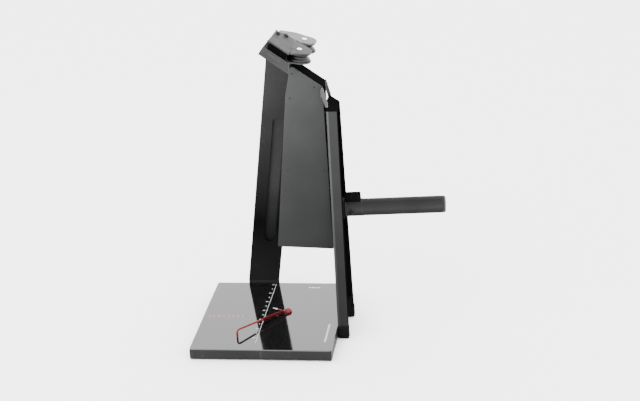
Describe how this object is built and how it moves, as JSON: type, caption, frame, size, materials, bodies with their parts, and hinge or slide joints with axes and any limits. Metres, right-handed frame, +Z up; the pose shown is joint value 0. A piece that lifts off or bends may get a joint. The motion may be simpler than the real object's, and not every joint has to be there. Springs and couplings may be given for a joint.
{
  "type": "power tower",
  "caption": "Compact plate-loaded cable tower with a mirror-black base, leaning mast, tapered housing on splayed legs, a twin-pulley head, a lifting weight horn and a loose handle.",
  "frame": {"origin": "middle of the base plate on the floor", "axes": "+X towards the weight horn, +Y towards the mast foot, +Z up"},
  "size_m": [0.7466, 0.4632, 0.9306],
  "materials": {
    "rubber": "matt moulded",
    "gloss_black": "gloss",
    "graphite": "satin powder coat",
    "satin_grey": "satin powder coat",
    "black_coat": "satin powder coat",
    "horn_steel": "satin powder coat",
    "bolt_black": "black oxide",
    "bright_steel": "turned steel",
    "pulley_grey": "turned, satin",
    "bush_plastic": "matt",
    "pin_black": "matt",
    "red_coat": "dipped gloss",
    "red_grip": "matt grip"
  },
  "bodies": {
    "frame": {"base_mat": "rubber", "leg_boots": "rubber", "rod_bumpers": "rubber", "base_slab": "gloss_black", "base_deck": "gloss_black", "mast_plate": "graphite", "mast_recess_liner": "graphite", "mast_foot": "graphite", "mast_head_seat": "graphite", "mast_tie_block": "graphite", "rear_gussets": "graphite", "head_bottom_plate": "graphite", "head_top_plate": "graphite", "housing_near_panel": "satin_grey", "housing_far_panel": "satin_grey", "rear_leg_near": "satin_grey", "housing_spine": "black_coat", "rear_leg_far": "black_coat", "rear_top_bridge": "black_coat", "head_spacer": "black_coat", "rear_cross_beam": "black_coat", "rod_block_low": "horn_steel", "rod_block_high": "horn_steel", "mast_foot_bolts": "bolt_black", "housing_near_screws": "bolt_black", "housing_far_screws": "bolt_black", "head_bolts": "bolt_black", "idler_collars": "bolt_black", "guide_rods": "bright_steel", "pulley_axles": "bright_steel", "idler_axle": "bright_steel"},
    "carriage": {"carriage_block": "horn_steel", "carriage_bushes": "bush_plastic", "carriage_neck": "horn_steel", "weight_horn": "horn_steel", "horn_root_plate": "black_coat", "horn_end_cap": "black_coat", "horn_stop_block": "black_coat", "pin_barrel": "bright_steel"},
    "lock_pin": {"pull_pin": "pin_black"},
    "near_wheel": {"pulley_near": "pulley_grey", "bearing_near": "bright_steel"},
    "far_wheel": {"pulley_far": "pulley_grey", "bearing_far": "bright_steel"},
    "idler": {"idler_wheel": "pulley_grey"},
    "handle": {"handle_rod": "red_coat", "handle_grip": "red_grip", "handle_ball": "red_coat", "handle_tab": "bright_steel"}
  },
  "joints": [
    {"name": "carriage_lift", "type": "slide", "parent": "frame", "child": "carriage", "axis": [0, 0, 1], "range_m": [0, 0.24]},
    {"name": "pin_pull", "type": "slide", "parent": "carriage", "child": "lock_pin", "axis": [0, -1, 0], "range_m": [0, 0.008], "stiffness_N_per_m": 800, "springref_m": -0.004},
    {"name": "near_wheel_spin", "type": "hinge", "parent": "frame", "child": "near_wheel", "pos_m": [0.14022, -0.049, 0.87224], "axis": [0.1736, 0, 0.9848], "continuous": true},
    {"name": "far_wheel_spin", "type": "hinge", "parent": "frame", "child": "far_wheel", "pos_m": [0.14022, 0.049, 0.87224], "axis": [0.1736, 0, 0.9848], "continuous": true},
    {"name": "idler_spin", "type": "hinge", "parent": "frame", "child": "idler", "pos_m": [0.131, 0, 0.787], "axis": [0, 1, 0], "continuous": true},
    {"name": "handle_lift", "type": "slide", "parent": "frame", "child": "handle", "axis": [0, 0, 1], "range_m": [0, 0.12]}
  ]
}
